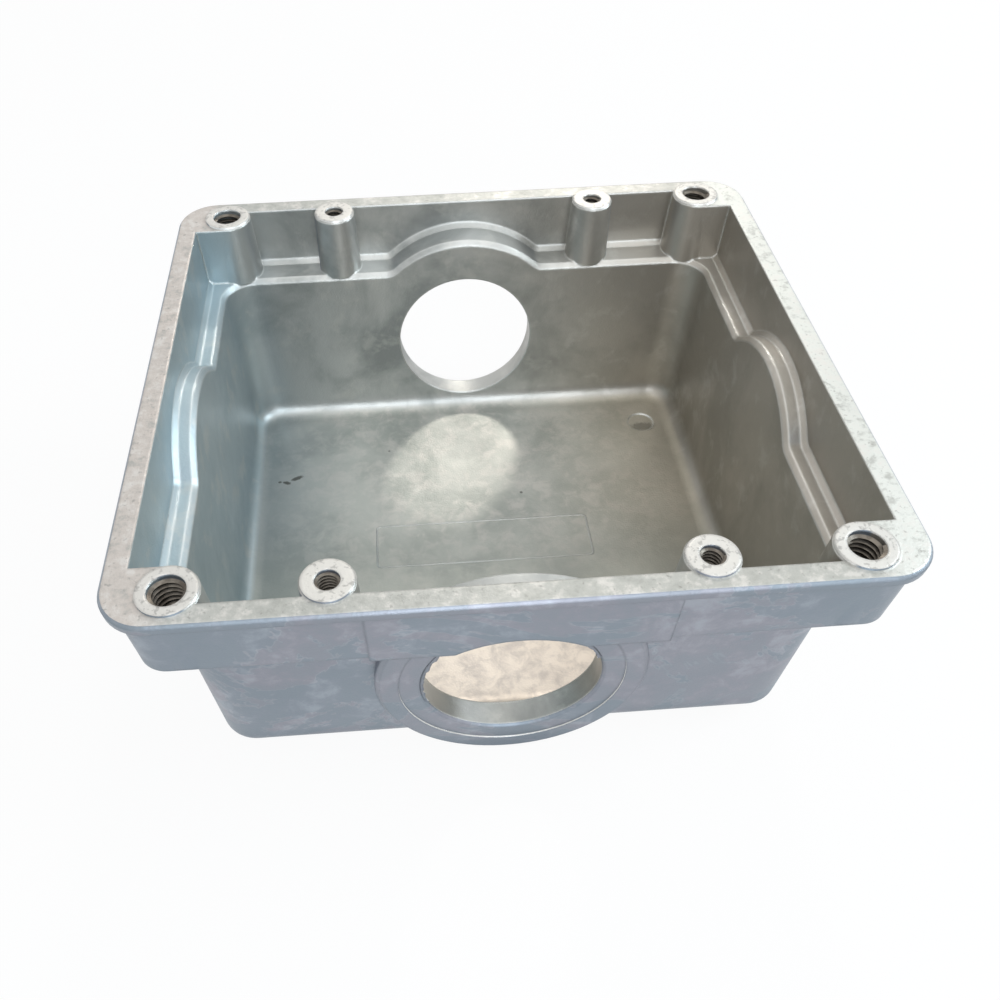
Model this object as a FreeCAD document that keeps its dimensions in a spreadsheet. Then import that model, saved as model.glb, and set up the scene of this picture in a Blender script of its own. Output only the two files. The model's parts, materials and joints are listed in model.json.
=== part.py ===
"""Die cast aluminium housing: an open box with a pad on each wall, made as one casting.

The housing opens upwards. Its rim carries a thin lip, four threaded corner bosses and four smaller threaded
bosses. Below the rim the walls step in, so that a ledge runs round the cavity. A round pad stands on each
wall, with a conduit port through the front and the back one, and the ledge climbs over each pad in an arch.

Millimetres, +Z up. The origin is at the centre of the outline, in the plane that the four pads stand on.
"""
import FreeCAD, Part
import math
import os

import Sketcher

DOCUMENT_NAME = "DieCastHousing"
SHEET_NAME = "sizes"
NODE_NAME = "housing"

# Driving dimensions. Depths run down from the rim face. A half size runs from the centre plane:
# half_x to a side wall, half_y to the front or the back wall. Drafts are in degrees.
DRIVING_SIZES = {
    "upper_half_x": 61.0,
    "upper_half_y": 57.8,
    "upper_corner": 5.5,
    "upper_draft": 1.3,
    "lip_overhang_x": 2.0,
    "lip_overhang_y": 1.2,
    "lip_corner": 8.0,
    "lip_thickness": 2.2,
    "lip_bevel": 0.5,
    "rim_wall_x": 2.0,
    "rim_wall_y": 2.8,
    "opening_corner": 3.0,
    "ledge_depth": 12.4,
    "ledge_thickness": 2.0,
    "ledge_edge_bevel": 0.9,
    "ledge_foot_bevel": 0.9,
    "step_in_x": 3.4,
    "step_in_y": 7.0,
    "step_bevel": 0.9,
    "lower_corner": 8.0,
    "lower_draft": 1.2,
    "side_wall": 2.6,
    "end_wall": 2.9,
    "well_corner": 6.5,
    "floor_thickness": 2.8,
    "floor_round": 4.0,
    "base_round": 3.5,
    "port_depth": 31.0,
    "port_diameter": 32.5,
    "port_chamfer": 0.5,
    "port_sill": 3.55,
    "pad_diameter": 49.2,
    "pad_rise_x": 2.3,
    "pad_rise_y": 2.7,
    "pad_root": 5.0,
    "pad_bevel": 0.8,
    "spot_diameter": 40.8,
    "spot_sink": 0.3,
    "neck_inset": 0.6,
    "neck_rise": 0.45,
    "arch_wall": 4.9,
    "arch_reach": 12.0,
    "arch_blend": 2.8,
    "corner_inset_x": 6.5,
    "corner_boss_diameter": 10.0,
    "corner_bore_diameter": 6.0,
    "corner_bore_depth": 10.5,
    "boss_inset_y": 2.5,
    "small_pitch": 57.8,
    "small_boss_diameter": 8.8,
    "small_bore_diameter": 4.0,
    "small_bore_depth": 10.0,
    "boss_draft": 2.0,
    "land_inset": 0.25,
    "land_rise": 0.4,
    "ejector_diameter": 6.6,
    "ejector_sink": 0.3,
    "ejector_inset_x": 9.5,
    "ejector_inset_y": 11.9,
}

# Sizes that follow from the driving ones, as formulas of the sheet.
DERIVED_SIZES = {
    "rim_height": "port_depth + pad_diameter / 2",
    "lip_half_x": "upper_half_x + lip_overhang_x",
    "lip_half_y": "upper_half_y + lip_overhang_y",
    "opening_half_x": "upper_half_x - rim_wall_x",
    "opening_half_y": "upper_half_y - rim_wall_y",
    "lower_half_x": "upper_half_x - step_in_x",
    "lower_half_y": "upper_half_y - step_in_y",
    "well_half_x": "lower_half_x - side_wall",
    "well_half_y": "lower_half_y - end_wall",
    "step_depth": "ledge_depth + ledge_thickness",
    "floor_depth": "port_depth + port_diameter / 2 + port_sill",
    "base_depth": "floor_depth + floor_thickness",
    "pad_face_x": "lower_half_x + pad_rise_x",
    "pad_face_y": "lower_half_y + pad_rise_y",
    "neck_half_width": "pad_diameter / 2 - neck_inset",
    "arch_radius": "spot_diameter / 2 + arch_wall",
    "corner_pitch": "2 * (opening_half_x - corner_inset_x)",
    "boss_row_pitch": "2 * (opening_half_y - boss_inset_y)",
    "corner_land_diameter": "corner_boss_diameter - 2 * land_inset",
    "small_land_diameter": "small_boss_diameter - 2 * land_inset",
    "ejector_x": "well_half_x - ejector_inset_x",
    "ejector_y": "well_half_y - ejector_inset_y",
}

# Lengths that only bury one feature's end inside another, so that no two faces lie in one plane.
OVERLAP = 1.0
# How near a point must be to a plane or an axis to count as lying on it.
NEAR = 0.01


class Size:
    """A length with two faces: its value now, and the expression that ties it to the sheet."""

    def __init__(self, value, text):
        self.value = value
        self.text = text

    def __add__(self, other):
        return join_sizes(self, "+", other, self.value + value_of(other))

    def __sub__(self, other):
        return join_sizes(self, "-", other, self.value - value_of(other))

    def __mul__(self, other):
        return join_sizes(self, "*", other, self.value * value_of(other))

    def __truediv__(self, other):
        return join_sizes(self, "/", other, self.value / value_of(other))


def value_of(item):
    """The number behind a Size or a plain number."""
    return item.value if isinstance(item, Size) else float(item)


def join_sizes(first, sign, second, value):
    """A Size worked out from two others."""
    second_text = second.text if isinstance(second, Size) else str(second)
    return Size(value, f"({first.text} {sign} {second_text})")


class Casting:
    """The document, its size sheet, and the body that takes one feature after another."""

    def __init__(self):
        self.document = FreeCAD.newDocument(DOCUMENT_NAME)
        self.sheet = self.document.addObject("Spreadsheet::Sheet", SHEET_NAME)
        cells = {alias: str(value) for alias, value in DRIVING_SIZES.items()}
        cells.update({alias: f"={formula}" for alias, formula in DERIVED_SIZES.items()})
        for row, (alias, content) in enumerate(cells.items(), start=1):
            self.sheet.set(f"A{row}", alias)
            self.sheet.set(f"B{row}", content)
            self.sheet.setAlias(f"B{row}", alias)
        self.document.recompute()
        self.body = self.document.addObject("PartDesign::Body", NODE_NAME)
        self.body.Label = NODE_NAME

    def size(self, alias):
        """One driving dimension as a Size."""
        return Size(float(getattr(self.sheet, alias)), f"{SHEET_NAME}.{alias}")

    def rim(self):
        """Height of the rim face above the plane that the pads stand on."""
        return self.size("rim_height")

    def level(self, depth_alias):
        """Height of a depth that is given down from the rim face."""
        return self.rim() - self.size(depth_alias)

    def plane(self, role):
        """One of the body's own origin planes."""
        return next(item for item in self.body.Origin.OriginFeatures if item.Role == role)

    def sketch(self, name, role, offset=None):
        """An empty sketch on an origin plane, moved along the plane's normal."""
        sketch = self.body.newObject("Sketcher::SketchObject", name)
        sketch.AttachmentSupport = [(self.plane(role), "")]
        sketch.MapMode = "FlatFace"
        if offset is not None:
            sketch.AttachmentOffset.Base.z = offset.value
            sketch.setExpression(".AttachmentOffset.Base.z", offset.text)
        return sketch

    def add(self, kind, name, profile, length, reversed_way=False, symmetric=False, taper=None):
        """Pad or pocket a sketch over a length."""
        feature = self.body.newObject(f"PartDesign::{kind}", name)
        feature.Profile = profile
        feature.setExpression("Length", length.text)
        feature.Reversed = reversed_way
        feature.SideType = "Symmetric" if symmetric else "One side"
        if taper is not None:
            feature.setExpression("TaperAngle", taper.text)
        self.document.recompute()
        return feature

    def mirror(self, name, originals, role):
        """Repeat features on the far side of an origin plane."""
        feature = self.body.newObject("PartDesign::Mirrored", name)
        feature.Originals = originals
        feature.MirrorPlane = (self.plane(role), [""])
        self.body.Tip = feature
        self.document.recompute()
        return feature

    def dress(self, kind, name, amount_name, amount, wanted):
        """Fillet or chamfer every edge of the body that passes a test."""
        base = self.body.Tip
        names = [f"Edge{number}" for number, edge in enumerate(base.Shape.Edges, start=1) if wanted(edge)]
        feature = self.body.newObject(f"PartDesign::{kind}", name)
        feature.Base = (base, names)
        feature.setExpression(amount_name, amount.text)
        self.document.recompute()
        return feature


def bind(sketch, constraint, size):
    """Add a dimension to a sketch and tie it to its expression."""
    index = sketch.addConstraint(constraint)
    sketch.setExpression(f"Constraints[{index}]", size.text)


def draw_rounded_rectangle(sketch, half_x, half_y, corner):
    """Draw a rectangle with round corners about the sketch's origin."""
    reach_x = half_x - corner
    reach_y = half_y - corner
    quarter = math.pi / 2
    up = FreeCAD.Vector(0, 0, 1)
    arcs = []
    for turn, (sign_x, sign_y) in enumerate(((1, 1), (-1, 1), (-1, -1), (1, -1))):
        centre = FreeCAD.Vector(sign_x * reach_x.value, sign_y * reach_y.value, 0)
        circle = Part.Circle(centre, up, corner.value)
        arc = Part.ArcOfCircle(circle, turn * quarter, (turn + 1) * quarter)
        arcs.append(sketch.addGeometry(arc, False))
    lines = []
    for first, second in zip(arcs, arcs[1:] + arcs[:1]):
        start = sketch.getPoint(first, 2)
        end = sketch.getPoint(second, 1)
        line = sketch.addGeometry(Part.LineSegment(start, end), False)
        sketch.addConstraint(Sketcher.Constraint("Tangent", first, 2, line, 1))
        sketch.addConstraint(Sketcher.Constraint("Tangent", line, 2, second, 1))
        lines.append(line)
    for line, kind in zip(lines, ("Horizontal", "Vertical", "Horizontal", "Vertical")):
        sketch.addConstraint(Sketcher.Constraint(kind, line))
    for first, second in zip(arcs, arcs[1:]):
        sketch.addConstraint(Sketcher.Constraint("Equal", first, second))
    sketch.addConstraint(Sketcher.Constraint("Symmetric", arcs[0], 3, arcs[2], 3, -1, 1))
    bind(sketch, Sketcher.Constraint("Radius", arcs[0], corner.value), corner)
    bind(sketch, Sketcher.Constraint("DistanceX", -1, 1, arcs[0], 3, reach_x.value), reach_x)
    bind(sketch, Sketcher.Constraint("DistanceY", -1, 1, arcs[0], 3, reach_y.value), reach_y)


def draw_rectangle(sketch, left, right, bottom, top):
    """Draw a rectangle from the distances of its sides, each with its sign, to the sketch's origin."""
    corners = (
        FreeCAD.Vector(left.value, bottom.value, 0),
        FreeCAD.Vector(right.value, bottom.value, 0),
        FreeCAD.Vector(right.value, top.value, 0),
        FreeCAD.Vector(left.value, top.value, 0),
    )
    lines = [
        sketch.addGeometry(Part.LineSegment(start, end), False)
        for start, end in zip(corners, corners[1:] + corners[:1])
    ]
    for first, second in zip(lines, lines[1:] + lines[:1]):
        sketch.addConstraint(Sketcher.Constraint("Coincident", first, 2, second, 1))
    for line, kind in zip(lines, ("Horizontal", "Vertical", "Horizontal", "Vertical")):
        sketch.addConstraint(Sketcher.Constraint(kind, line))
    bind(sketch, Sketcher.Constraint("DistanceX", -1, 1, lines[0], 1, left.value), left)
    bind(sketch, Sketcher.Constraint("DistanceX", -1, 1, lines[0], 2, right.value), right)
    bind(sketch, Sketcher.Constraint("DistanceY", -1, 1, lines[0], 1, bottom.value), bottom)
    bind(sketch, Sketcher.Constraint("DistanceY", -1, 1, lines[2], 1, top.value), top)


def draw_circle(sketch, across, along, diameter):
    """Draw a circle. Across is None for a circle centred on the sketch's upright axis."""
    place_x = 0.0 if across is None else across.value
    centre = FreeCAD.Vector(place_x, along.value, 0)
    ring = sketch.addGeometry(Part.Circle(centre, FreeCAD.Vector(0, 0, 1), diameter.value / 2), False)
    if across is None:
        sketch.addConstraint(Sketcher.Constraint("PointOnObject", ring, 3, -2))
    else:
        bind(sketch, Sketcher.Constraint("DistanceX", -1, 1, ring, 3, across.value), across)
    bind(sketch, Sketcher.Constraint("DistanceY", -1, 1, ring, 3, along.value), along)
    bind(sketch, Sketcher.Constraint("Diameter", ring, diameter.value), diameter)


def draw_arch(sketch, centre_height, chord_height, radius):
    """Draw the part of a circle that lies above a level chord."""
    rise = chord_height.value - centre_height.value
    half_chord = math.sqrt(radius.value ** 2 - rise ** 2)
    start_angle = math.atan2(rise, half_chord)
    circle = Part.Circle(FreeCAD.Vector(0, centre_height.value, 0), FreeCAD.Vector(0, 0, 1), radius.value)
    arc = sketch.addGeometry(Part.ArcOfCircle(circle, start_angle, math.pi - start_angle), False)
    chord = sketch.addGeometry(Part.LineSegment(sketch.getPoint(arc, 2), sketch.getPoint(arc, 1)), False)
    sketch.addConstraint(Sketcher.Constraint("Coincident", arc, 2, chord, 1))
    sketch.addConstraint(Sketcher.Constraint("Coincident", chord, 2, arc, 1))
    sketch.addConstraint(Sketcher.Constraint("Horizontal", chord))
    sketch.addConstraint(Sketcher.Constraint("PointOnObject", arc, 3, -2))
    bind(sketch, Sketcher.Constraint("DistanceY", -1, 1, arc, 3, centre_height.value), centre_height)
    bind(sketch, Sketcher.Constraint("DistanceY", -1, 1, chord, 1, chord_height.value), chord_height)
    bind(sketch, Sketcher.Constraint("Radius", arc, radius.value), radius)


def level_outline(casting, name, height, half_x, half_y, corner):
    """A rounded rectangle in a level plane."""
    sketch = casting.sketch(name, "XY_Plane", height)
    draw_rounded_rectangle(sketch, half_x, half_y, corner)
    return sketch


def lies_at(edge, height):
    """Whether the whole of an edge lies at one height."""
    return all(abs(vertex.Z - height) < NEAR for vertex in edge.Vertexes) and abs(
        edge.BoundBox.ZLength) < NEAR


def reaches_past(edge, half_x, half_y):
    """Whether an edge lies outside a rectangle about the centre."""
    box = edge.BoundBox
    return max(abs(box.XMax), abs(box.XMin)) > half_x.value + NEAR or (
        max(abs(box.YMax), abs(box.YMin)) > half_y.value + NEAR)


def outer_walls(casting):
    """Solid outer form: lower walls, upper walls that overhang them, and the lip on top."""
    size = casting.size
    base, step, rim = casting.level("base_depth"), casting.level("step_depth"), casting.rim()
    lip_underside = casting.level("lip_thickness")
    outline = level_outline(casting, "LowerOutline", step, size("lower_half_x"), size("lower_half_y"),
                            size("lower_corner"))
    casting.add("Pad", "LowerWalls", outline, size("base_depth") - size("step_depth"), reversed_way=True,
                taper=size("lower_draft") * -1)
    casting.dress("Fillet", "BaseRound", "Radius", size("base_round"), lambda edge: lies_at(edge, base.value))
    outline = level_outline(casting, "UpperOutline", lip_underside, size("upper_half_x"),
                            size("upper_half_y"), size("upper_corner"))
    casting.add("Pad", "UpperWalls", outline, size("step_depth") - size("lip_thickness"),
                reversed_way=True, taper=size("upper_draft") * -1)
    casting.dress("Chamfer", "StepBevel", "Size", size("step_bevel"),
                  lambda edge: lies_at(edge, step.value) and reaches_past(edge, size("lower_half_x"),
                                                                          size("lower_half_y")))
    plate = level_outline(casting, "LipOutline", rim, size("lip_half_x"), size("lip_half_y"),
                          size("lip_corner"))
    casting.add("Pad", "Lip", plate, size("lip_thickness"), reversed_way=True)
    casting.dress("Chamfer", "LipBevel", "Size", size("lip_bevel"),
                  lambda edge: (lies_at(edge, rim.value) or lies_at(edge, lip_underside.value))
                  and reaches_past(edge, size("upper_half_x"), size("upper_half_y")))


def wall_pads(casting, side, role, face_alias, wall_alias):
    """The U-shaped boss on a wall and on the wall opposite: a round pad below, a straight neck above."""
    size = casting.size
    centre = casting.level("port_depth")
    face = size(face_alias)
    neck = casting.sketch(f"{side}NeckOutline", role)
    draw_rectangle(neck, size("neck_half_width") * -1, size("neck_half_width"),
                   casting.level("step_depth") + size("step_bevel"),
                   casting.level("lip_thickness") + size("lip_bevel"))
    casting.add("Pad", f"{side}Necks", neck, (size(wall_alias) + size("neck_rise")) * 2, symmetric=True)
    disc = casting.sketch(f"{side}PadOutline", role, face)
    draw_circle(disc, None, centre, size("pad_diameter"))
    pad = casting.add("Pad", f"{side}Pad", disc, size("pad_root"), reversed_way=True)
    casting.mirror(f"{side}PadOpposite", [pad], role)
    radius = size("pad_diameter").value / 2

    def is_pad_rim(edge):
        curve = edge.Curve
        if not isinstance(curve, Part.Circle) or abs(curve.Radius - radius) > NEAR:
            return False
        return abs(max(abs(curve.Center.x), abs(curve.Center.y)) - face.value) < NEAR

    casting.dress("Chamfer", f"{side}PadBevel", "Size", size("pad_bevel"), is_pad_rim)


def spot_faces(casting, side, role, face_alias, lip_alias):
    """The round face on each pad, sunk a little and cut into the upper wall above it."""
    size = casting.size
    face = size(face_alias) - size("spot_sink")
    disc = casting.sketch(f"{side}SpotOutline", role, face)
    draw_circle(disc, None, casting.level("port_depth"), size("spot_diameter"))
    spot = casting.add("Pocket", f"{side}Spot", disc, size(lip_alias) - face, reversed_way=True)
    casting.mirror(f"{side}SpotOpposite", [spot], role)


def opening(casting):
    """The wide upper part of the cavity, down to the ledge."""
    size = casting.size
    mouth = level_outline(casting, "OpeningOutline", casting.rim(), size("opening_half_x"),
                          size("opening_half_y"), size("opening_corner"))
    casting.add("Pocket", "Opening", mouth, size("ledge_depth"))


def arches(casting, side, role, wall_alias):
    """The arches that carry the ledge over the pads of a wall and of the wall opposite."""
    size = casting.size
    foot = casting.level("ledge_depth") - OVERLAP / 2
    outline = casting.sketch(f"{side}ArchOutline", role, size(wall_alias) + OVERLAP / 2)
    draw_arch(outline, casting.level("port_depth"), foot, size("arch_radius"))
    arch = casting.add("Pad", f"{side}Arch", outline, size("arch_reach"), reversed_way=True)
    casting.mirror(f"{side}ArchOpposite", [arch], role)


def well(casting):
    """The deep lower part of the cavity, cut from above so that it also faces the arches."""
    size = casting.size
    outline = level_outline(casting, "WellOutline", casting.rim(), size("well_half_x"), size("well_half_y"),
                            size("well_corner"))
    casting.add("Pocket", "Well", outline, size("floor_depth"))
    floor_height = casting.level("floor_depth").value
    casting.dress("Fillet", "FloorRound", "Radius", size("floor_round"),
                  lambda edge: lies_at(edge, floor_height))


def soften_ledge(casting):
    """Soften the ledge: where the arches rise from it, along its inner edge and along its foot."""
    size = casting.size
    ledge = casting.level("ledge_depth").value
    arch = size("arch_radius").value

    def crosses_ledge(edge):
        middle = edge.CenterOfMass
        box = edge.BoundBox
        short = min(box.XLength, box.YLength) < OVERLAP and max(box.XLength, box.YLength) > OVERLAP
        return lies_at(edge, ledge) and short and min(abs(middle.x), abs(middle.y)) < arch and (
            abs(middle.x) > size("well_half_x").value or abs(middle.y) > size("well_half_y").value) and (
            max(box.XLength, box.YLength) < arch / 2)

    casting.dress("Fillet", "ArchBlend", "Radius", size("arch_blend"), crosses_ledge)

    def inside_well(point):
        return ledge - NEAR < point.Z < casting.rim().value - OVERLAP and (
            abs(point.X) < size("well_half_x").value + NEAR) and (
            abs(point.Y) < size("well_half_y").value + NEAR)

    casting.dress("Chamfer", "LedgeEdgeBevel", "Size", size("ledge_edge_bevel"),
                  lambda edge: all(inside_well(point) for point in edge.Vertexes))

    def on_wall(edge):
        points = edge.Vertexes
        box = edge.BoundBox
        off_x, off_y = size("opening_half_x").value, size("opening_half_y").value
        return all(ledge - NEAR < point.Z < casting.rim().value - OVERLAP for point in points) and (
            all(abs(abs(point.X) - off_x) < NEAR or abs(abs(point.Y) - off_y) < NEAR for point in points)
            and max(abs(box.XMax), abs(box.XMin)) < off_x + NEAR
            and max(abs(box.YMax), abs(box.YMin)) < off_y + NEAR)

    casting.dress("Chamfer", "LedgeFootBevel", "Size", size("ledge_foot_bevel"), on_wall)


def four_places(pitch_x, pitch_y):
    """The four corners of a rectangle as pairs of signed half pitches."""
    return [(pitch_x * (sign_x / 2), pitch_y * (sign_y / 2)) for sign_x in (1, -1) for sign_y in (1, -1)]


def bosses(casting, side, pitch_alias, diameter_alias):
    """Four drafted posts from the rim down into the ledge."""
    size = casting.size
    outline = casting.sketch(f"{side}BossOutline", "XY_Plane", casting.rim())
    for across, along in four_places(size(pitch_alias), size("boss_row_pitch")):
        draw_circle(outline, across, along, size(diameter_alias))
    casting.add("Pad", f"{side}Bosses", outline, size("ledge_depth") + OVERLAP / 2,
                reversed_way=True, taper=size("boss_draft"))


def corner_webs(casting):
    """Solid corners between the corner bosses and the side walls."""
    size = casting.size
    half_pitch = size("corner_pitch") / 2
    near_edge = size("boss_row_pitch") / 2 - size("corner_boss_diameter") / 2
    outline = casting.sketch("CornerWebOutline", "XY_Plane", casting.rim())
    wall_x = size("opening_half_x") + OVERLAP / 2
    wall_y = size("opening_half_y") + OVERLAP / 2
    draw_rectangle(outline, half_pitch, wall_x, near_edge, wall_y)
    draw_rectangle(outline, wall_x * -1, half_pitch * -1, near_edge, wall_y)
    draw_rectangle(outline, half_pitch, wall_x, wall_y * -1, near_edge * -1)
    draw_rectangle(outline, wall_x * -1, half_pitch * -1, wall_y * -1, near_edge * -1)
    casting.add("Pad", "CornerWebs", outline, size("ledge_depth") + OVERLAP / 2, reversed_way=True)


def threaded_bores(casting, side, pitch_alias, land_alias, bore_alias, depth_alias):
    """A raised land round each bore of one set of bosses, and the blind bore itself."""
    size = casting.size
    places = four_places(size(pitch_alias), size("boss_row_pitch"))
    outline = casting.sketch(f"{side}LandOutline", "XY_Plane", casting.rim())
    for across, along in places:
        draw_circle(outline, across, along, size(land_alias))
    casting.add("Pad", f"{side}Lands", outline, size("land_rise"))
    bore = casting.sketch(f"{side}BoreOutline", "XY_Plane", casting.rim() + size("land_rise"))
    for across, along in places:
        draw_circle(bore, across, along, size(bore_alias))
    casting.document.recompute()
    hole = casting.body.newObject("PartDesign::Hole", f"{side}Bores")
    hole.Profile = bore
    hole.ThreadType = "None"
    hole.DepthType = "Dimension"
    hole.DrillPoint = "Flat"
    hole.setExpression("Diameter", size(bore_alias).text)
    hole.setExpression("Depth", size(depth_alias).text)
    casting.document.recompute()


def ports(casting):
    """The conduit ports through the front and the back wall."""
    size = casting.size
    outline = casting.sketch("PortOutline", "XZ_Plane")
    draw_circle(outline, None, casting.level("port_depth"), size("port_diameter"))
    casting.add("Pocket", "Ports", outline, size("lip_half_y") * 2, symmetric=True)
    face = size("pad_face_y").value - size("spot_sink").value
    radius = size("port_diameter").value / 2

    def is_port_mouth(edge):
        curve = edge.Curve
        return isinstance(curve, Part.Circle) and abs(curve.Radius - radius) < NEAR and (
            abs(abs(curve.Center.y) - face) < NEAR)

    casting.dress("Chamfer", "PortChamfer", "Size", size("port_chamfer"), is_port_mouth)


def ejector_mark(casting):
    """The shallow round print that an ejector pin left in the floor."""
    size = casting.size
    outline = casting.sketch("EjectorOutline", "XY_Plane", casting.level("floor_depth"))
    draw_circle(outline, size("ejector_x"), size("ejector_y"), size("ejector_diameter"))
    casting.add("Pocket", "EjectorMark", outline, size("ejector_sink"))


def check_document(casting):
    """Stop if any object failed, or if the finished solid isn't one valid solid."""
    failed = [item.Name for item in casting.document.Objects
              if "Invalid" in item.State or "Error" in item.State]
    if failed:
        raise RuntimeError(f"failed objects: {failed}")
    shape = casting.body.Shape
    if shape.isNull() or not shape.isValid() or len(shape.Solids) != 1:
        raise RuntimeError("the housing isn't one valid solid")


def build():
    """Make the casting, from its outer form inwards."""
    casting = Casting()
    outer_walls(casting)
    wall_pads(casting, "Front", "XZ_Plane", "pad_face_y", "upper_half_y")
    wall_pads(casting, "Side", "YZ_Plane", "pad_face_x", "upper_half_x")
    opening(casting)
    arches(casting, "Front", "XZ_Plane", "opening_half_y")
    arches(casting, "Side", "YZ_Plane", "opening_half_x")
    well(casting)
    soften_ledge(casting)
    spot_faces(casting, "Front", "XZ_Plane", "pad_face_y", "lip_half_y")
    spot_faces(casting, "Side", "YZ_Plane", "pad_face_x", "lip_half_x")
    bosses(casting, "Corner", "corner_pitch", "corner_boss_diameter")
    bosses(casting, "Small", "small_pitch", "small_boss_diameter")
    corner_webs(casting)
    ports(casting)
    threaded_bores(casting, "Corner", "corner_pitch", "corner_land_diameter", "corner_bore_diameter",
                   "corner_bore_depth")
    threaded_bores(casting, "Small", "small_pitch", "small_land_diameter", "small_bore_diameter",
                   "small_bore_depth")
    ejector_mark(casting)
    check_document(casting)
    return casting


def export(casting):
    """Write the finished solid to its STEP file."""
    os.makedirs("parts", exist_ok=True)
    casting.body.Shape.exportStep(f"parts/{casting.body.Label}.step")
    box = casting.body.Shape.BoundBox
    print(f"{casting.body.Label}: {box.XLength:.2f} x {box.YLength:.2f} x {box.ZLength:.2f} mm, "
          f"volume {casting.body.Shape.Volume:.0f} mm3, lowest point {box.ZMin:.3f}")


export(build())
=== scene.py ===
"""Looks of the die cast aluminium housing: bare cast skin, dressed rim, faced bosses, tapped bores and ports."""

import json
import logging
import math
from dataclasses import dataclass, field
from enum import Enum
from typing import Callable, Iterable, Optional, Union

import bpy
from mathutils import Euler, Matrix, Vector

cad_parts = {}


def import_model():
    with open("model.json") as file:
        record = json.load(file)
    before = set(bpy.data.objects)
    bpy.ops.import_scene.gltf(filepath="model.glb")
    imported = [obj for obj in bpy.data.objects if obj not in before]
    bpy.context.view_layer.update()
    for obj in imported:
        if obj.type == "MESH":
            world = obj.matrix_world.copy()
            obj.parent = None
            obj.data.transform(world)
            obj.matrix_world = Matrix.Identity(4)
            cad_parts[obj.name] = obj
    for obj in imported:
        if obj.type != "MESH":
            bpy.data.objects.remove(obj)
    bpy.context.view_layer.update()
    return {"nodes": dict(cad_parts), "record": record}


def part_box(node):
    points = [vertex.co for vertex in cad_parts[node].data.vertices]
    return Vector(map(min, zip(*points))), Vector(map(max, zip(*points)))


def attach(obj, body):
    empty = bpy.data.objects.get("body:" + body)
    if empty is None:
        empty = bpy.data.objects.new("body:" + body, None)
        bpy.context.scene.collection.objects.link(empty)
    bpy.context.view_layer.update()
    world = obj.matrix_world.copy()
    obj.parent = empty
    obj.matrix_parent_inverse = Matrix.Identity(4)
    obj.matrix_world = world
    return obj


LOG = logging.getLogger("housing")
MM = 0.001

Colour = tuple[float, float, float]
Socket = bpy.types.NodeSocket
Value = Union[float, Socket]


def srgb(red: int, green: int, blue: int) -> Colour:
    """Turn a display colour of 0 to 255 a channel into scene-linear values."""
    def channel(level: int) -> float:
        share = level / 255.0
        return share / 12.92 if share <= 0.04045 else ((share + 0.055) / 1.055) ** 2.4
    return channel(red), channel(green), channel(blue)


class Blend(Enum):
    """How a colour layer is laid over the one below it."""
    COVER = "MIX"
    DARKEN = "MULTIPLY"
    LIGHTEN = "SCREEN"


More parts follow.
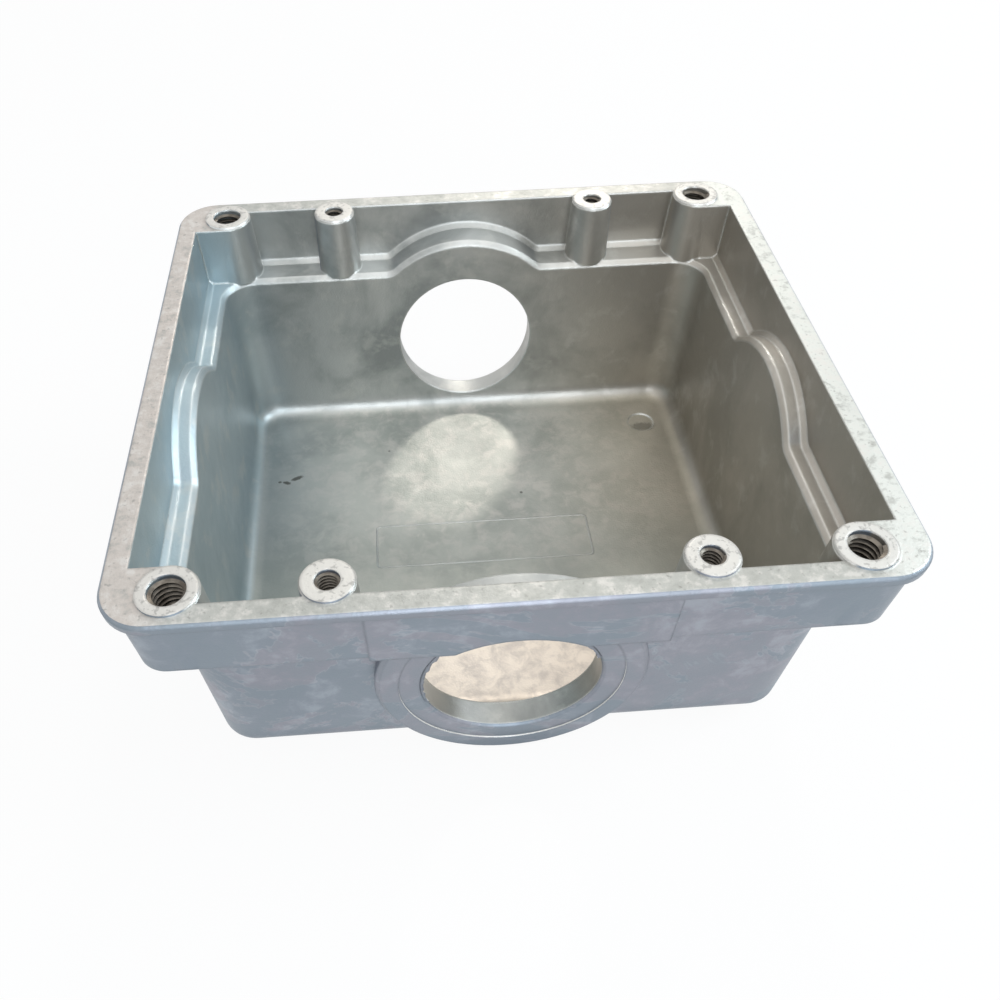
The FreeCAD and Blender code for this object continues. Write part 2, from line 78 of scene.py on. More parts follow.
@dataclass
class NodeSheet:
    """A material's node tree, with short ways to add the nodes that the finishes share."""
    material: bpy.types.Material
    tree: bpy.types.NodeTree = field(init=False)
    shader: bpy.types.Node = field(init=False)
    place: Socket = field(init=False)
    soft_normal: Socket = field(init=False)

    def __post_init__(self) -> None:
        """Clear the tree and add the surface shader and the object coordinates."""
        self.material.use_nodes = True
        self.tree = self.material.node_tree
        self.tree.nodes.clear()
        output = self.tree.nodes.new("ShaderNodeOutputMaterial")
        self.shader = self.tree.nodes.new("ShaderNodeBsdfPrincipled")
        self.tree.links.new(self.shader.outputs["BSDF"], output.inputs["Surface"])
        self.place = self.tree.nodes.new("ShaderNodeTexCoord").outputs["Object"]

    def feed(self, socket: Socket, value: Union[Value, Colour]) -> None:
        """Link a socket to an input, or write a constant on it."""
        if isinstance(value, bpy.types.NodeSocket):
            self.tree.links.new(value, socket)
        elif isinstance(value, tuple) and socket.type == "RGBA":
            socket.default_value = (*value[:3], 1.0)
        else:
            socket.default_value = value

    def math(self, operation: str, first: Value, second: Value = 0.0, third: Value = 0.0,
             clamp: bool = False) -> Socket:
        """Add a math node.

        Args:
            operation: Name of the operation.
            first: First input.
            second: Second input.
            third: Third input, where the operation has one.
            clamp: Whether to hold the result between 0 and 1.

        Returns:
            The node's output.
        """
        node = self.tree.nodes.new("ShaderNodeMath")
        node.operation = operation
        node.use_clamp = clamp
        for socket, value in zip(node.inputs, (first, second, third)):
            self.feed(socket, value)
        return node.outputs[0]

    def ramp(self, value: Value, low: float, high: float, start: float = 0.0, end: float = 1.0) -> Socket:
        """Turn a range of values smoothly into another range.

        Args:
            value: The input.
            low: Input at which the result is start.
            high: Input at which the result is end.
            start: Result at and before low.
            end: Result at and past high.

        Returns:
            The mapped value.
        """
        node = self.tree.nodes.new("ShaderNodeMapRange")
        node.interpolation_type = "SMOOTHSTEP"
        for name, setting in zip(("Value", "From Min", "From Max", "To Min", "To Max"),
                                 (value, low, high, start, end)):
            self.feed(node.inputs[name], setting)
        return node.outputs["Result"]

    def noise(self, scale: float, detail: float = 4.0, roughness: float = 0.55, distortion: float = 0.0,
              stretch: tuple[float, float, float] = (1.0, 1.0, 1.0), shift: float = 0.0) -> Socket:
        """Add a noise pattern on object coordinates.

        Args:
            scale: Features per metre.
            detail: Octaves.
            roughness: Strength of the fine octaves.
            distortion: Swirl.
            stretch: Factors on the three coordinates.
            shift: Offset, so that two patterns differ.

        Returns:
            The pattern's value.
        """
        mapping = self.tree.nodes.new("ShaderNodeMapping")
        self.tree.links.new(self.place, mapping.inputs["Vector"])
        mapping.inputs["Scale"].default_value = stretch
        mapping.inputs["Location"].default_value = (shift, shift * 1.7, shift * 2.3)
        node = self.tree.nodes.new("ShaderNodeTexNoise")
        self.tree.links.new(mapping.outputs["Vector"], node.inputs["Vector"])
        for name, setting in (("Scale", scale), ("Detail", detail), ("Roughness", roughness),
                              ("Distortion", distortion)):
            node.inputs[name].default_value = setting
        return node.outputs["Fac"]

    def split(self) -> tuple[Socket, Socket, Socket]:
        """Return the object coordinates one by one."""
        node = self.tree.nodes.new("ShaderNodeSeparateXYZ")
        self.tree.links.new(self.place, node.inputs[0])
        return node.outputs[0], node.outputs[1], node.outputs[2]

    def facing(self) -> tuple[Socket, Socket, Socket]:
        """Return the surface normal's parts in object space."""
        geometry = self.tree.nodes.new("ShaderNodeTexCoord").outputs["Normal"]
        node = self.tree.nodes.new("ShaderNodeSeparateXYZ")
        self.tree.links.new(geometry, node.inputs[0])
        return node.outputs[0], node.outputs[1], node.outputs[2]

    def edge(self, radius: float) -> Socket:
        """Mask the edges and the inner corners of the mesh.

        Args:
            radius: Radius at which the shading rounds them.

        Returns:
            1 on an edge and 0 on an open face.
        """
        bevel = self.tree.nodes.new("ShaderNodeBevel")
        bevel.samples = 4
        bevel.inputs["Radius"].default_value = radius
        self.soft_normal = bevel.outputs["Normal"]
        geometry = self.tree.nodes.new("ShaderNodeNewGeometry")
        dot = self.tree.nodes.new("ShaderNodeVectorMath")
        dot.operation = "DOT_PRODUCT"
        self.tree.links.new(self.soft_normal, dot.inputs[0])
        self.tree.links.new(geometry.outputs["Normal"], dot.inputs[1])
        return self.ramp(dot.outputs["Value"], 0.86, 0.995, 1.0, 0.0)

    def spot(self, centre: tuple[float, float], size: tuple[float, float], turn: float) -> Socket:
        """Mask an oval spot on the floor, with a ragged edge.

        Args:
            centre: Its centre.
            size: Its half length and half width.
            turn: Angle of its length in degrees.

        Returns:
            1 inside the spot and 0 outside.
        """
        mapping = self.tree.nodes.new("ShaderNodeMapping")
        mapping.vector_type = "TEXTURE"
        mapping.inputs["Location"].default_value = (*centre, 0.0)
        mapping.inputs["Rotation"].default_value = (0.0, 0.0, math.radians(turn))
        mapping.inputs["Scale"].default_value = (*size, 1.0)
        self.tree.links.new(self.place, mapping.inputs["Vector"])
        length = self.tree.nodes.new("ShaderNodeVectorMath")
        length.operation = "LENGTH"
        self.tree.links.new(mapping.outputs["Vector"], length.inputs[0])
        ragged = self.math("ADD", length.outputs["Value"], self.math("MULTIPLY", self.noise(1500.0, 2.0), 0.8))
        return self.ramp(ragged, 1.0, 1.5, 1.0, 0.0)

    def layer(self, below: Union[Socket, Colour], above: Union[Socket, Colour], share: Value,
              blend: Blend = Blend.COVER) -> Socket:
        """Lay one colour over another by a share."""
        node = self.tree.nodes.new("ShaderNodeMix")
        node.data_type = "RGBA"
        node.blend_type = blend.value
        self.feed(node.inputs[0], share)
        self.feed(node.inputs[6], below)
        self.feed(node.inputs[7], above)
        return node.outputs[2]

    def bump(self, height: Socket, depth: float, below: Optional[Socket] = None) -> Socket:
        """Add a bump of a depth in metres, over another bump if one is given."""
        node = self.tree.nodes.new("ShaderNodeBump")
        node.inputs["Strength"].default_value = 1.0
        node.inputs["Distance"].default_value = depth
        self.tree.links.new(height, node.inputs["Height"])
        if below is not None:
            self.tree.links.new(below, node.inputs["Normal"])
        return node.outputs["Normal"]


@dataclass(frozen=True)
class CastSkin:
    """Bare die cast aluminium as it leaves the die: cloudy skin, dressed rim and boss tops, handling marks, with
    painted highlights, painted shade and painted light laid into its colour.
    """
    rim_height: float
    land_height: float
    floor_height: float
    inner: Colour = srgb(190, 191, 188)
    # The outer colour is painted shade: darker and cooler than the inner skin.
    outer: Colour = srgb(140, 148, 158)
    metal: float = 0.82
    worn_metal: float = 0.6
    edge_radius: float = 0.7 * MM
    marks: tuple[tuple[float, float, float, float, float, float], ...] = (
        (-44.4, 22.6, 1.7, 0.7, 25.0, 0.8), (-46.9, 21.2, 1.1, 0.6, -20.0, 0.8), (-48.6, 21.6, 0.5, 0.4, 0.0, 0.7),
        (11.0, 13.0, 0.5, 0.4, 0.0, 0.7), (-21.0, 30.5, 0.35, 0.35, 0.0, 0.5), (45.8, 34.4, 3.4, 1.9, 0.0, 0.45))

    def material(self, name: str) -> bpy.types.Material:
        """Build the finish.

        Args:
            name: Name of the material.

        Returns:
            The material, patterned on object coordinates.
        """
        material = bpy.data.materials.new(name)
        sheet = NodeSheet(material)
        upward = sheet.ramp(sheet.facing()[2], 0.7, 0.95)
        edge = sheet.edge(self.edge_radius)
        colour = self.walls(sheet)
        colour = self.floor(sheet, colour, upward)
        outside = self.outside(sheet)
        inner_edge_highlight = sheet.math("MULTIPLY", edge, sheet.math("SUBTRACT", 1.0, outside))
        # Painted highlight: a near white line along the inner edges and corners.
        colour = sheet.layer(colour, srgb(244, 245, 242), sheet.math("MULTIPLY", inner_edge_highlight, 0.7))
        height = sheet.split()[2]
        # Painted shade: the outer walls darken towards the bottom, near the floor.
        painted_low_shade = sheet.math("MULTIPLY", outside, sheet.ramp(height, 0.0, 9.0 * MM, 0.6, 0.0))
        colour = sheet.layer(colour, srgb(96, 108, 120), painted_low_shade)
        # Painted shade: a darker line along the outer edges and corners.
        outer_edge_shade = sheet.math("MULTIPLY", edge, outside)
        colour = sheet.layer(colour, srgb(112, 122, 130), sheet.math("MULTIPLY", outer_edge_shade, 0.35))
        colour = self.rim(sheet, colour, upward)
        cloud = sheet.noise(38.0, 5.0, 0.6, 0.4)
        roughness = sheet.ramp(cloud, 0.3, 0.7, 0.34, 0.48)
        roughness = sheet.math("ADD", roughness, sheet.math("MULTIPLY", upward, 0.06))
        roughness = sheet.math("SUBTRACT", roughness, sheet.math("MULTIPLY", inner_edge_highlight, 0.12))
        sheet.feed(sheet.shader.inputs["Base Color"], colour)
        sheet.feed(sheet.shader.inputs["Roughness"], roughness)
        sheet.feed(sheet.shader.inputs["Metallic"], sheet.ramp(upward, 0.0, 1.0, self.metal, self.worn_metal))
        relief = sheet.bump(sheet.noise(2300.0, 3.0, 0.6, shift=5.0), 0.05 * MM, sheet.soft_normal)
        relief = sheet.bump(sheet.noise(240.0, 4.0, 0.6, shift=3.0), 0.09 * MM, relief)
        sheet.feed(sheet.shader.inputs["Normal"], relief)
        return material

    def on_floor(self, sheet: NodeSheet, upward: Socket) -> Socket:
        """Mask the cavity's floor."""
        height = sheet.split()[2]
        return sheet.math("MULTIPLY", upward,
                          sheet.ramp(height, self.floor_height + 1.0 * MM, self.floor_height + 4.0 * MM, 1.0, 0.0))

    def outside(self, sheet: NodeSheet) -> Socket:
        """Mask the walls' outer faces."""
        across, along, _ = sheet.split()
        normal_x, normal_y, _ = sheet.facing()
        reach = sheet.math("ADD", sheet.math("MULTIPLY", normal_x, across), sheet.math("MULTIPLY", normal_y, along))
        return sheet.ramp(reach, 4.0 * MM, 20.0 * MM)

    def walls(self, sheet: NodeSheet) -> Socket:
        """Colour the cloudy skin, with tide marks where the metal flowed; outside it is darker and cooler as
        painted shade, inside it is darker and browner to the right as painted shade and painted reflection, and
        lighter and bluer at the far left as painted light.
        """
        across = sheet.split()[0]
        cloud = sheet.noise(38.0, 5.0, 0.6, 0.4)
        blotch = sheet.noise(150.0, 5.0, 0.62, 0.3, shift=3.0)
        inner = sheet.layer(self.inner, srgb(136, 140, 138), sheet.ramp(cloud, 0.4, 0.66, 0.0, 0.8))
        # Painted shade and painted reflection: the inner walls turn darker and browner towards the right.
        inner = sheet.layer(inner, srgb(172, 162, 148), sheet.ramp(across, -10.0 * MM, 60.0 * MM, 0.0, 0.6))
        # Painted light: the inner walls turn lighter and bluer at the far left.
        inner = sheet.layer(inner, srgb(172, 192, 200), sheet.ramp(across, -60.0 * MM, -42.0 * MM, 0.7, 0.0))
        inner = sheet.layer(inner, srgb(206, 205, 199), sheet.ramp(blotch, 0.52, 0.68, 0.0, 0.4))
        flow = sheet.noise(26.0, 5.0, 0.68, 0.9, stretch=(1.0, 1.0, 1.6), shift=9.0)
        # The outer skin starts from painted shade, darker and cooler; flow marks, tide marks and blotches go over
        # it.
        outer = sheet.layer(self.outer, srgb(158, 153, 162), sheet.ramp(flow, 0.49, 0.53, 0.0, 0.55))
        tide = sheet.ramp(sheet.math("ABSOLUTE", sheet.math("SUBTRACT", flow, 0.505)), 0.0, 0.012, 0.25, 0.0)
        outer = sheet.layer(outer, srgb(190, 190, 196), tide)
        outer = sheet.layer(outer, srgb(132, 145, 153), sheet.ramp(blotch, 0.42, 0.62, 0.4, 0.0))
        outer = sheet.layer(outer, srgb(180, 190, 198), sheet.ramp(blotch, 0.52, 0.72, 0.0, 0.35))
        return sheet.layer(inner, outer, self.outside(sheet))

    def floor(self, sheet: NodeSheet, below: Socket, upward: Socket) -> Socket:
        """Colour the cavity's floor: grey green clouds, a mottled patch by the front port that is partly a pool of
        painted light, and a few scratches.
        """
        across, along, _ = sheet.split()
        cloud = sheet.noise(45.0, 6.0, 0.62, 0.5, shift=2.0)
        fine = sheet.noise(260.0, 5.0, 0.65, 0.4, shift=7.0)
        colour = sheet.layer(srgb(190, 191, 184), srgb(150, 154, 148), sheet.ramp(cloud, 0.36, 0.68, 0.0, 0.8))
        colour = sheet.layer(colour, srgb(212, 207, 200), sheet.ramp(fine, 0.42, 0.68, 0.0, 0.5))
        colour = sheet.layer(colour, srgb(186, 174, 152), sheet.ramp(across, 8.0 * MM, 52.0 * MM, 0.0, 0.6))
        colour = sheet.layer(colour, srgb(112, 122, 126), sheet.ramp(across, -54.0 * MM, -24.0 * MM, 0.7, 0.0))
        colour = sheet.layer(colour, srgb(146, 150, 143), sheet.ramp(along, -18.0 * MM, 12.0 * MM, 0.6, 0.0))
        # Mottled patch by the front port: light beige as a pool of painted light, with darker grey mottling.
        patch = sheet.noise(290.0, 5.0, 0.66, 0.4, shift=13.0)
        mottle_and_painted_light = sheet.layer(srgb(222, 211, 198), srgb(176, 168, 162), sheet.ramp(patch, 0.38, 0.7, 0.0, 0.7))
        colour = sheet.layer(colour, mottle_and_painted_light, sheet.ramp(along, -25.0 * MM, -19.0 * MM, 1.0, 0.0))
        for place_x, place_y, length, width, turn, depth in self.marks:
            mark = sheet.spot((place_x * MM, place_y * MM), (length * MM, width * MM), turn)
            colour = sheet.layer(colour, srgb(58, 56, 50), sheet.math("MULTIPLY", mark, depth))
        return sheet.layer(below, colour, self.on_floor(sheet, upward))

    def rim(self, sheet: NodeSheet, below: Socket, upward: Socket) -> Socket:
        """Colour the dressed rim face, sandy on the left and paler on the right as painted light, and the bright
        boss tops.
        """
        across, _, height = sheet.split()
        on_rim = sheet.math("MULTIPLY", upward,
                            sheet.ramp(height, self.rim_height - 0.8 * MM, self.rim_height - 0.3 * MM))
        on_land = sheet.math("MULTIPLY", upward,
                             sheet.ramp(height, self.rim_height + 0.2 * MM, self.land_height - 0.1 * MM))
        sand = sheet.noise(420.0, 5.0, 0.68, shift=4.0)
        pits = sheet.noise(1100.0, 3.0, 0.6, shift=8.0)
        # Painted light: the rim face turns paler towards the right.
        face = sheet.layer(srgb(176, 176, 170), srgb(220, 222, 216), sheet.ramp(across, 52.0 * MM, 58.0 * MM))
        face = sheet.layer(face, srgb(198, 187, 178), sheet.ramp(across, -58.0 * MM, -50.0 * MM, 1.0, 0.0))
        face = sheet.layer(face, srgb(222, 217, 211), sheet.ramp(sand, 0.48, 0.68, 0.0, 0.6))
        face = sheet.layer(face, srgb(150, 150, 144), sheet.ramp(sand, 0.32, 0.5, 0.6, 0.0))
        face = sheet.layer(face, srgb(112, 110, 104), sheet.ramp(pits, 0.3, 0.4, 0.45, 0.0))
        top = sheet.layer(srgb(210, 207, 201), srgb(148, 146, 142), sheet.ramp(pits, 0.36, 0.46, 0.6, 0.0))
        colour = sheet.layer(below, face, sheet.math("MULTIPLY", on_rim, 0.85))
        return sheet.layer(colour, top, sheet.math("MULTIPLY", on_land, 0.9))


@dataclass(frozen=True)
class CutThread:
    """Aluminium as a tap leaves it, with patches darkened by cutting oil."""
    metal: Colour = srgb(120, 114, 106)
    roughness: float = 0.42

    def material(self, name: str) -> bpy.types.Material:
        """Build the finish.

        Args:
            name: Name of the material.

        Returns:
            The material.
        """
        material = bpy.data.materials.new(name)
        sheet = NodeSheet(material)
        stain = sheet.noise(700.0, 3.0, 0.6)
        colour = sheet.layer(self.metal, srgb(70, 64, 58), sheet.ramp(stain, 0.4, 0.65, 0.0, 0.6))
        sheet.feed(sheet.shader.inputs["Base Color"], colour)
        sheet.shader.inputs["Metallic"].default_value = 1.0
        sheet.shader.inputs["Roughness"].default_value = self.roughness
        return material


def edit_mode(work: Callable[[], None]) -> None:
    """Run a job in edit mode on the active object."""
    bpy.ops.object.mode_set(mode="EDIT")
    work()
    bpy.ops.object.mode_set(mode="OBJECT")


def start_piece(name: str) -> bpy.types.Object:
    """Name the primitive that was just added and select it alone."""
    piece = bpy.context.object
    piece.name = name
    piece.data.name = name
    bpy.ops.object.select_all(action="DESELECT")
    piece.select_set(True)
    bpy.context.view_layer.objects.active = piece
    return piece


def select_vertices(piece: bpy.types.Object, wanted: Callable[[Vector], bool]) -> None:
    """Select a mesh's vertices by their place, from object mode."""
    for face in piece.data.polygons:
        face.select = False
    for edge in piece.data.edges:
        edge.select = False
    for vertex in piece.data.vertices:
        vertex.select = wanted(vertex.co)


def hand_over(piece: bpy.types.Object, material: bpy.types.Material) -> None:
    """Give a finished piece its place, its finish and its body."""
    bpy.ops.object.transform_apply(location=True, rotation=True, scale=True)
    piece.data.materials.clear()
    piece.data.materials.append(material)
    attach(piece, "root")
    LOG.info("%s: %d faces", piece.name, len(piece.data.polygons))


@dataclass
class Thread:
    """The ridge that a tap leaves in a bore, as a helix on the bore's wall."""
    name: str
    bore_radius: float
    ridge_radius: float
    pitch: float
    turns: int
    top: float
    centres: tuple[tuple[float, float], ...]
    bury: float = 0.04 * MM
    steps: int = 32

    def build(self, material: bpy.types.Material) -> None:
        """Model one ridge and copy it into each bore.

        Args:
            material: The cut metal.
        """
        outer = self.bore_radius + self.bury
        depth = outer - self.ridge_radius
        bpy.ops.mesh.primitive_plane_add(size=1.0, rotation=(math.pi / 2, 0.0, 0.0))
        ridge = start_piece(f"{self.name}_1")
        ridge.scale = (depth, 0.86 * self.pitch, 1.0)
        ridge.location = (outer - depth / 2, 0.0, self.top - self.pitch * (self.turns + 0.5))
        bpy.ops.object.transform_apply(location=True, rotation=True, scale=True)
        middle = outer - depth / 2
        select_vertices(ridge, lambda place: place.x < middle)
        edit_mode(lambda: bpy.ops.transform.resize(value=(1.0, 1.0, 0.25)))
        edit_mode(self.leave_outline)
        wind = ridge.modifiers.new("wind", "SCREW")
        wind.axis = "Z"
        wind.angle = 2 * math.pi
        wind.screw_offset = self.pitch
        wind.iterations = self.turns
        wind.steps = self.steps
        wind.render_steps = self.steps
        bpy.ops.object.modifier_apply(modifier=wind.name)
        edit_mode(self.close_ends)
        bpy.ops.object.shade_smooth_by_angle(angle=math.radians(35.0))
        ridges = [ridge]
        for number in range(2, len(self.centres) + 1):
            bpy.ops.object.duplicate(linked=False)
            ridges.append(start_piece(f"{self.name}_{number}"))
        for piece, centre in zip(ridges, self.centres):
            bpy.ops.object.select_all(action="DESELECT")
            piece.select_set(True)
            bpy.context.view_layer.objects.active = piece
            piece.location = (*centre, 0.0)
            hand_over(piece, material)

    def leave_outline(self) -> None:
        """Keep only the edges of the ridge's cross-section."""
        bpy.ops.mesh.select_all(action="SELECT")
        bpy.ops.mesh.delete(type="ONLY_FACE")

    def close_ends(self) -> None:
        """Cap both ends of the helix and turn its faces outwards."""
        bpy.ops.mesh.select_all(action="SELECT")
        bpy.ops.mesh.fill_holes(sides=4)
        bpy.ops.mesh.select_all(action="SELECT")
        bpy.ops.mesh.normals_make_consistent(inside=False)


@dataclass
class FloorFrame:
    """The low raised frame on the cavity's floor, left bare inside."""
    floor_height: float
    centre: tuple[float, float] = (0.3 * MM, -1.9 * MM)
    size: tuple[float, float] = (50.6 * MM, 13.0 * MM)
    corner: float = 1.2 * MM
    width: float = 0.5 * MM
    rise: float = 0.08 * MM
    sink: float = 0.1 * MM

    def build(self, material: bpy.types.Material) -> None:
        """Model the frame as a flat ring with softened edges.

        Args:
            material: The cast skin.
        """
        base = self.floor_height - self.sink
        bpy.ops.mesh.primitive_plane_add(size=1.0, location=(*self.centre, base))
        frame_line = start_piece("floor_frame")
        frame_line.scale = (*self.size, 1.0)
        bpy.ops.object.transform_apply(location=True, rotation=True, scale=True)
        edit_mode(self.shape)
        soften = frame_line.modifiers.new("soften", "BEVEL")
        soften.width = 0.07 * MM
        soften.segments = 2
        soften.limit_method = "ANGLE"
        bpy.ops.object.modifier_apply(modifier=soften.name)
        bpy.ops.object.shade_smooth_by_angle(angle=math.radians(40.0))
        hand_over(frame_line, material)

    def shape(self) -> None:
        """Round the corners, cut out the middle and raise what is left."""
        bpy.ops.mesh.select_all(action="SELECT")
        bpy.ops.mesh.bevel(offset=self.corner, segments=4, affect="VERTICES")
        bpy.ops.mesh.select_all(action="SELECT")
        bpy.ops.mesh.inset(thickness=self.width)
        bpy.ops.mesh.delete(type="FACE")
        bpy.ops.mesh.select_all(action="SELECT")
        bpy.ops.mesh.extrude_region_move(TRANSFORM_OT_translate={"value": (0.0, 0.0, self.rise + self.sink)})
        bpy.ops.mesh.select_all(action="SELECT")
        bpy.ops.mesh.normals_make_consistent(inside=False)


@dataclass
class PortFlash:
    """The ragged flash of metal left on the edge of the front port."""
    centre: tuple[float, float, float]
    radius: float
    face: float
    start: float = 20.0
    end: float = 200.0
    hang: float = 0.35 * MM
    thickness: float = 0.35 * MM
    seed: int = 7

    def build(self, material: bpy.types.Material) -> None:
        """Model the flash as a thin ragged band along the upper left of the port's edge.

        Args:
            material: The cast skin.
        """
        bpy.ops.mesh.primitive_circle_add(vertices=180, radius=self.radius + 0.25 * MM,
                                          location=(self.centre[0], self.face, self.centre[2]),
                                          rotation=(math.pi / 2, 0.0, 0.0))
        flash = start_piece("port_flash")
        bpy.ops.object.transform_apply(location=True, rotation=True, scale=True)
        select_vertices(flash, self.off_band)
        edit_mode(lambda: bpy.ops.mesh.delete(type="VERT"))
        edit_mode(self.shape)
        thicken = flash.modifiers.new("thicken", "SOLIDIFY")
        thicken.thickness = self.thickness
        thicken.offset = 0.0
        bpy.ops.object.modifier_apply(modifier=thicken.name)
        edit_mode(self.face_out)
        bpy.ops.object.shade_smooth_by_angle(angle=math.radians(40.0))
        hand_over(flash, material)

    def off_band(self, place: Vector) -> bool:
        """Tell whether a place on the port's edge lies off the ragged band."""
        turn = math.degrees(math.atan2(place.z - self.centre[2], place.x - self.centre[0])) % 360.0
        return not self.start < turn < self.end

    def shape(self) -> None:
        """Draw the band inwards from the port's edge and tear its free side."""
        middle = (self.centre[0], self.face, self.centre[2])
        inward = (self.radius - self.hang) / (self.radius + 0.25 * MM)
        bpy.ops.mesh.select_all(action="SELECT")
        bpy.ops.mesh.extrude_region_move()
        bpy.ops.transform.resize(value=(inward, 1.0, inward), center_override=middle)
        bpy.ops.transform.vertex_random(offset=0.3 * MM, uniform=0.2, normal=0.0, seed=self.seed)
        bpy.ops.mesh.select_all(action="SELECT")
        bpy.ops.mesh.normals_make_consistent(inside=False)

    def face_out(self) -> None:
        """Turn the faces outwards."""
        bpy.ops.mesh.select_all(action="SELECT")
        bpy.ops.mesh.normals_make_consistent(inside=False)


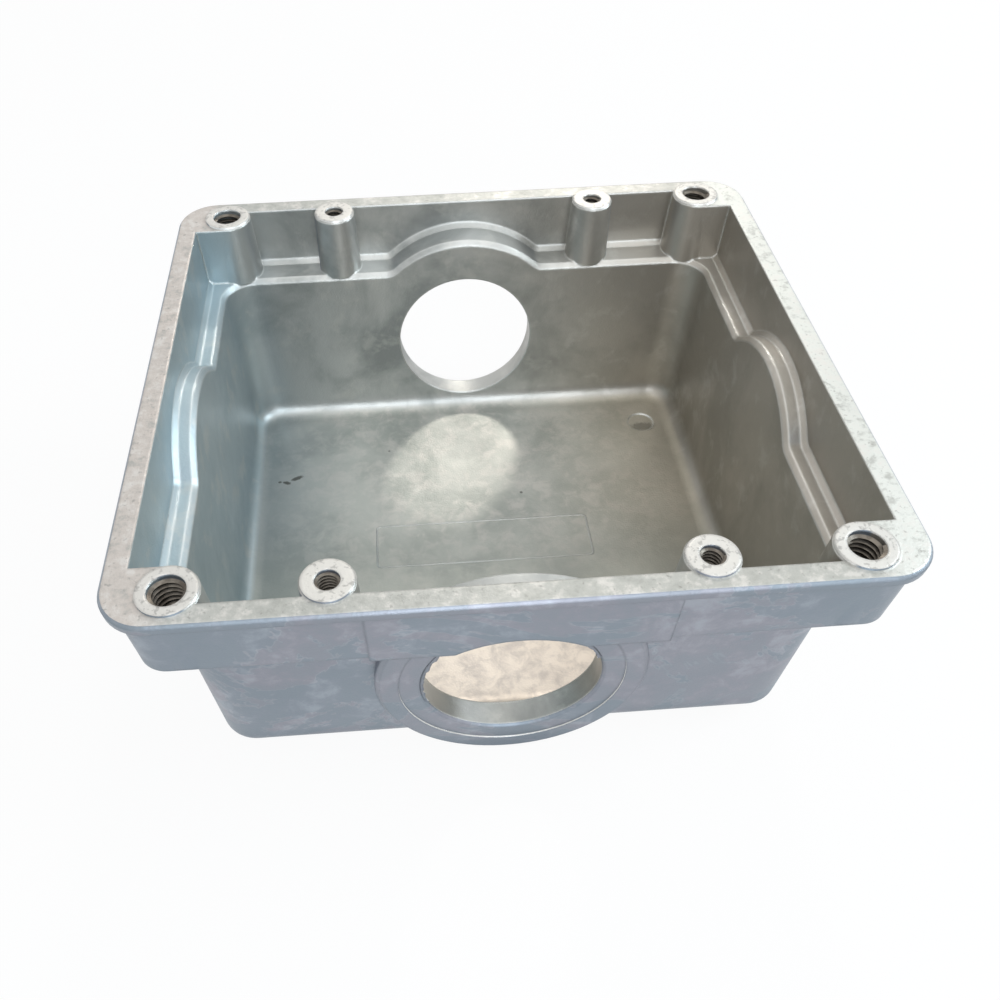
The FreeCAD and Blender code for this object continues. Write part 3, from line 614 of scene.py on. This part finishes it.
@dataclass
class Studio:
    """Plain pale floor, soft lamps, a background that shows white, and the camera."""
    floor_size: float = 6.0
    camera_place: tuple[float, float, float] = (-0.01505, -0.12941, 0.15032)
    camera_turn: tuple[float, float, float] = (35.528, 0.721, -4.195)
    lens: float = 29.49
    shift: tuple[float, float] = (0.0493, 0.1249)

    def build(self) -> None:
        """Set up everything round the object."""
        self.make_floor()
        self.make_world()
        self.make_lamps()
        self.make_camera()
        scene = bpy.context.scene
        scene.view_settings.view_transform = "Standard"
        LOG.info("studio ready")

    def seen_directly(self, tree: bpy.types.NodeTree) -> Socket:
        """Return 1 for rays that show the background to the camera, in gloss or through glass."""
        path = tree.nodes.new("ShaderNodeLightPath")
        total: Socket = path.outputs["Is Camera Ray"]
        for name in ("Is Glossy Ray", "Is Transmission Ray"):
            node = tree.nodes.new("ShaderNodeMath")
            node.operation = "MAXIMUM"
            tree.links.new(total, node.inputs[0])
            tree.links.new(path.outputs[name], node.inputs[1])
            total = node.outputs[0]
        return total

    def make_floor(self) -> None:
        """Lay a pale floor that keeps the object's shadow."""
        bpy.ops.mesh.primitive_plane_add(size=self.floor_size, location=(0.0, 0.0, -0.0002))
        floor = bpy.context.object
        floor.name = "studio_floor"
        bpy.ops.object.transform_apply(location=True, rotation=True, scale=True)
        material = bpy.data.materials.new("studio_floor")
        material.use_nodes = True
        tree = material.node_tree
        tree.nodes.clear()
        output = tree.nodes.new("ShaderNodeOutputMaterial")
        diffuse = tree.nodes.new("ShaderNodeBsdfDiffuse")
        diffuse.inputs["Color"].default_value = (0.86, 0.86, 0.86, 1.0)
        glow = tree.nodes.new("ShaderNodeEmission")
        glow.inputs["Color"].default_value = (1.0, 1.0, 1.0, 1.0)
        glow.inputs["Strength"].default_value = 1.0
        mix = tree.nodes.new("ShaderNodeMixShader")
        share = tree.nodes.new("ShaderNodeMath")
        share.operation = "MULTIPLY"
        share.inputs[1].default_value = 0.93
        tree.links.new(self.seen_directly(tree), share.inputs[0])
        tree.links.new(share.outputs[0], mix.inputs[0])
        tree.links.new(diffuse.outputs[0], mix.inputs[1])
        tree.links.new(glow.outputs[0], mix.inputs[2])
        tree.links.new(mix.outputs[0], output.inputs["Surface"])
        floor.data.materials.append(material)

    def make_world(self) -> None:
        """Light evenly from all round, and show white where nothing stands."""
        world = bpy.data.worlds.new("studio")
        bpy.context.scene.world = world
        world.use_nodes = True
        tree = world.node_tree
        tree.nodes.clear()
        output = tree.nodes.new("ShaderNodeOutputWorld")
        soft = tree.nodes.new("ShaderNodeBackground")
        soft.inputs["Color"].default_value = (0.90, 0.95, 1.0, 1.0)
        soft.inputs["Strength"].default_value = 0.45
        white = tree.nodes.new("ShaderNodeBackground")
        white.inputs["Color"].default_value = (1.0, 1.0, 1.0, 1.0)
        white.inputs["Strength"].default_value = 1.0
        mix = tree.nodes.new("ShaderNodeMixShader")
        tree.links.new(self.seen_directly(tree), mix.inputs[0])
        tree.links.new(soft.outputs[0], mix.inputs[1])
        tree.links.new(white.outputs[0], mix.inputs[2])
        tree.links.new(mix.outputs[0], output.inputs["Surface"])

    def make_lamps(self) -> None:
        """Hang the soft lamps."""
        for name, place, size, power, tint in (
            ("lamp_back", (0.166, 0.877, 0.65), 0.12, 2.1, (1.0, 0.95, 0.88)),
            ("lamp_over", (0.05, -0.05, 0.9), 0.8, 1.4, (1.0, 1.0, 0.98)),
            ("lamp_right", (0.75, 0.05, 0.5), 0.5, 4.0, (0.80, 0.92, 1.0)),
            ("lamp_front", (0.1, -0.7, 0.5), 0.6, 3.0, (0.84, 0.92, 1.0)),
        ):
            light = bpy.data.lights.new(name, "AREA")
            light.shape = "DISK"
            light.size = size
            light.energy = power
            light.color = tint
            lamp = bpy.data.objects.new(name, light)
            lamp.location = place
            aim = Vector((0.0, 0.0, 0.03)) - Vector(place)
            lamp.rotation_euler = aim.to_track_quat("-Z", "Y").to_euler()
            bpy.context.scene.collection.objects.link(lamp)

    def make_camera(self) -> None:
        """Place the camera above the front wall, looking down into the cavity."""
        data = bpy.data.cameras.new("camera")
        data.lens = self.lens
        data.sensor_width = 36.0
        data.shift_x, data.shift_y = self.shift
        data.clip_start = 0.01
        data.clip_end = 50.0
        camera = bpy.data.objects.new("camera", data)
        camera.location = self.camera_place
        camera.rotation_euler = Euler([math.radians(angle) for angle in self.camera_turn], "XYZ")
        bpy.context.scene.collection.objects.link(camera)
        bpy.context.scene.camera = camera


def main() -> None:
    """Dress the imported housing, add what its solids leave out, and set the studio round it."""
    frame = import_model()
    bpy.ops.object.select_all(action="DESELECT")
    mounts = {mount["name"]: mount for mount in frame["record"]["mounts"]}
    land_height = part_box("housing")[1].z
    rim_height = land_height - 0.4 * MM
    floor_height = rim_height - 50.8 * MM
    skin = CastSkin(rim_height=rim_height, land_height=land_height, floor_height=floor_height).material("cast_skin")
    housing = frame["nodes"]["housing"]
    housing.data.materials.clear()
    housing.data.materials.append(skin)
    LOG.info("housing dressed")

    cut = CutThread().material("cut_thread")
    for name, mount_name, ridge_depth, pitch, turns in (
        ("lid_thread", "lid_screws", 0.56 * MM, 1.0 * MM, 9),
        ("cover_thread", "cover_plate_screws", 0.4 * MM, 0.7 * MM, 12),
    ):
        holes = mounts[mount_name]["dims"]
        half_x, half_y = (holes[f"spacing_{axis}_mm"] / 2 * MM for axis in "xy")
        radius = holes["hole_r_mm"] * MM
        Thread(name=name, bore_radius=radius, ridge_radius=radius - ridge_depth, pitch=pitch, turns=turns,
               top=land_height - 0.1 * MM,
               centres=((-half_x, -half_y), (half_x, -half_y), (-half_x, half_y), (half_x, half_y))).build(cut)
    FloorFrame(floor_height=floor_height).build(skin)
    port = mounts["front_port"]
    PortFlash(centre=(port["pos_m"][0], port["pos_m"][1], floor_height + 19.8 * MM),
              radius=port["dims"]["r_mm"] * MM, face=-52.95 * MM).build(skin)
    Studio().build()


if __name__ == "__main__":
    logging.basicConfig(level=logging.INFO)
    main()
